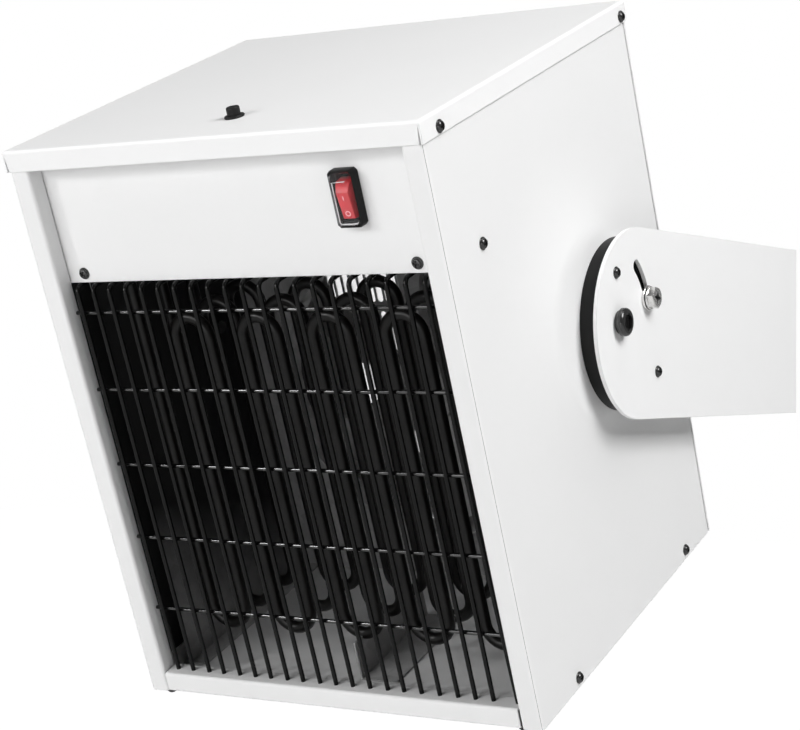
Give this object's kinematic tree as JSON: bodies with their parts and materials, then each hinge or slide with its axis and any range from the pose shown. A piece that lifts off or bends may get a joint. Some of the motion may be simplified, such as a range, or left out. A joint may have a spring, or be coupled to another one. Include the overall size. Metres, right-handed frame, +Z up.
{
  "type": "wall fan heater",
  "caption": "Sheet-steel electric fan heater on a tilting U-shaped wall bracket, with a wire grille, tubular heating elements, a rocker switch and a reset button.",
  "frame": {"origin": "centre of the four wall bolts, on the back face of the bracket's wall plate", "axes": "+Z up, +Y into the wall, so the grille faces -Y; +X to the right seen from the front"},
  "size_m": [0.3544, 0.5134, 0.4551],
  "materials": {
    "white_coat": "satin powder coat",
    "bracket_coat": "satin powder coat",
    "black_plastic": "matt",
    "black_coat": "glossy black coat",
    "black_steel": "blackened",
    "zinc": "zinc plated",
    "galvanised": "galvanised sheet",
    "element_sheath": "dark oxidised sheath",
    "ceramic": "glazed ceramic",
    "red_lens": "glossy, lightly translucent",
    "clear_cover": "clear flexible cover",
    "fan_aluminium": "rolled sheet",
    "motor_coat": "stoved black",
    "grey_plastic": "matt"
  },
  "bodies": {
    "bracket": {"wall_bracket": "bracket_coat", "spacer_discs": "black_plastic", "spacer_screws": "black_steel"},
    "head": {"top_cover": "white_coat", "left_side_panel": "white_coat", "right_side_panel": "white_coat", "bottom_pan": "white_coat", "rear_panel": "white_coat", "front_panel": "white_coat", "grille_bars": "black_coat", "grille_cross_wires": "black_coat", "deck_plate": "galvanised", "fan_bulkhead": "galvanised", "left_heat_shield": "galvanised", "right_heat_shield": "galvanised", "front_heating_element": "element_sheath", "middle_heating_element": "element_sheath", "rear_heating_element": "element_sheath", "element_terminals": "ceramic", "element_support": "galvanised", "fan_motor": "motor_coat", "motor_bracket": "galvanised", "thermal_cutout": "black_plastic", "reset_bush": "black_plastic", "switch_housing": "black_plastic", "splash_cover": "clear_cover", "contactor": "grey_plastic", "terminal_block": "grey_plastic", "cable_gland": "black_plastic", "pivot_bolts": "black_steel", "pivot_washers": "black_steel", "pivot_nuts": "zinc", "tilt_lock_bolts": "zinc", "tilt_lock_washers": "zinc", "tilt_lock_nuts": "zinc", "lid_screws": "black_steel", "side_screws": "black_steel", "front_screws": "black_steel", "foot_screws": "black_steel", "rear_screws": "black_steel"},
    "fan": {"motor_shaft": "zinc", "fan_rotor": "fan_aluminium"},
    "rocker": {"rocker": "red_lens"},
    "reset_button": {"reset_button": "black_plastic"}
  },
  "joints": [
    {"name": "head_tilt", "type": "hinge", "parent": "bracket", "child": "head", "pos_m": [0, -0.308, 0], "axis": [1, 0, 0], "range_deg": [0, 33]},
    {"name": "fan_spin", "type": "hinge", "parent": "head", "child": "fan", "pos_m": [0, -0.25351, -0.04112], "axis": [0, 0.9232, 0.3843], "continuous": true},
    {"name": "switch_rocker", "type": "hinge", "parent": "head", "child": "rocker", "pos_m": [0.087, -0.48103, 0.06933], "axis": [1, 0, 0], "range_deg": [-20, 0]},
    {"name": "reset_press", "type": "slide", "parent": "head", "child": "reset_button", "axis": [0, 0.3843, -0.9232], "range_m": [0, 0.002], "stiffness_N_per_m": 800, "springref_m": -0.001}
  ]
}
